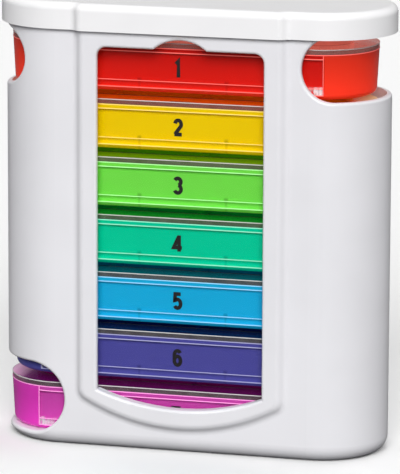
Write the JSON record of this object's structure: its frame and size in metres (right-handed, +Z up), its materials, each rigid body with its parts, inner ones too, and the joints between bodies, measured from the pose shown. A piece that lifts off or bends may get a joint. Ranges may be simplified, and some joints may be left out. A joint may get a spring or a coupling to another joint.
{
  "type": "weekly pill drawer organizer",
  "caption": "Tall rounded casing with a window, holding a stack of coloured four-compartment pill drawers with clear lids under a lift-off cap.",
  "frame": {"origin": "middle of the footprint, on the surface it stands on", "axes": "+Z up, front with the window towards -Y, +X to the right seen from the front"},
  "size_m": [0.1272, 0.0472, 0.1426],
  "materials": {
    "casing_white": "satin moulded white",
    "clear": "clear moulded",
    "red_tray": "translucent tinted",
    "yellow_tray": "translucent tinted",
    "green_tray": "translucent tinted",
    "teal_tray": "translucent tinted",
    "blue_tray": "translucent tinted",
    "violet_tray": "translucent tinted",
    "magenta_tray": "translucent tinted"
  },
  "bodies": {
    "casing": {"casing": "casing_white"},
    "cap": {"cap": "casing_white"},
    "drawer_1": {"tray_1": "red_tray", "label_cover_1": "clear"},
    "lid_of_1": {"lid_1": "clear"},
    "drawer_2": {"tray_2": "yellow_tray", "label_cover_2": "clear", "lid_2": "clear"},
    "drawer_3": {"tray_3": "green_tray", "label_cover_3": "clear", "lid_3": "clear"},
    "drawer_4": {"tray_4": "teal_tray", "label_cover_4": "clear", "lid_4": "clear"},
    "drawer_5": {"tray_5": "blue_tray", "label_cover_5": "clear", "lid_5": "clear"},
    "drawer_6": {"tray_6": "violet_tray", "label_cover_6": "clear", "lid_6": "clear"},
    "drawer_7": {"tray_7": "magenta_tray", "label_cover_7": "clear"},
    "lid_of_7": {"lid_7": "clear"}
  },
  "joints": [
    {"name": "cap_lift", "type": "slide", "parent": "casing", "child": "cap", "axis": [0, 0, 1], "range_m": [0, 0.16]},
    {"name": "drawer_6_lift", "type": "slide", "parent": "casing", "child": "drawer_6", "axis": [0, 0, 1], "range_m": [0, 0.12]},
    {"name": "drawer_5_lift", "type": "slide", "parent": "drawer_6", "child": "drawer_5", "axis": [0, 0, 1], "range_m": [0, 0.006]},
    {"name": "drawer_4_lift", "type": "slide", "parent": "drawer_5", "child": "drawer_4", "axis": [0, 0, 1], "range_m": [0, 0.006]},
    {"name": "drawer_3_lift", "type": "slide", "parent": "drawer_4", "child": "drawer_3", "axis": [0, 0, 1], "range_m": [0, 0.006]},
    {"name": "drawer_2_lift", "type": "slide", "parent": "drawer_3", "child": "drawer_2", "axis": [0, 0, 1], "range_m": [0, 0.006]},
    {"name": "drawer_1_out", "type": "slide", "parent": "drawer_2", "child": "drawer_1", "axis": [1, 0, 0], "range_m": [0, 0.12]},
    {"name": "lid_1_slide", "type": "slide", "parent": "drawer_1", "child": "lid_of_1", "axis": [1, 0, 0], "range_m": [0, 0.09]},
    {"name": "drawer_7_out", "type": "slide", "parent": "casing", "child": "drawer_7", "axis": [-1, 0, 0], "range_m": [0, 0.12]},
    {"name": "lid_7_slide", "type": "slide", "parent": "drawer_7", "child": "lid_of_7", "axis": [-1, 0, 0], "range_m": [0, 0.09]}
  ],
  "couplings": [
    {"joint": "drawer_6_lift", "follows": "cap_lift", "ratio": 0.75},
    {"joint": "drawer_5_lift", "follows": "cap_lift", "ratio": 0.0375},
    {"joint": "drawer_4_lift", "follows": "cap_lift", "ratio": 0.0375},
    {"joint": "drawer_3_lift", "follows": "cap_lift", "ratio": 0.0375},
    {"joint": "drawer_2_lift", "follows": "cap_lift", "ratio": 0.0375}
  ]
}
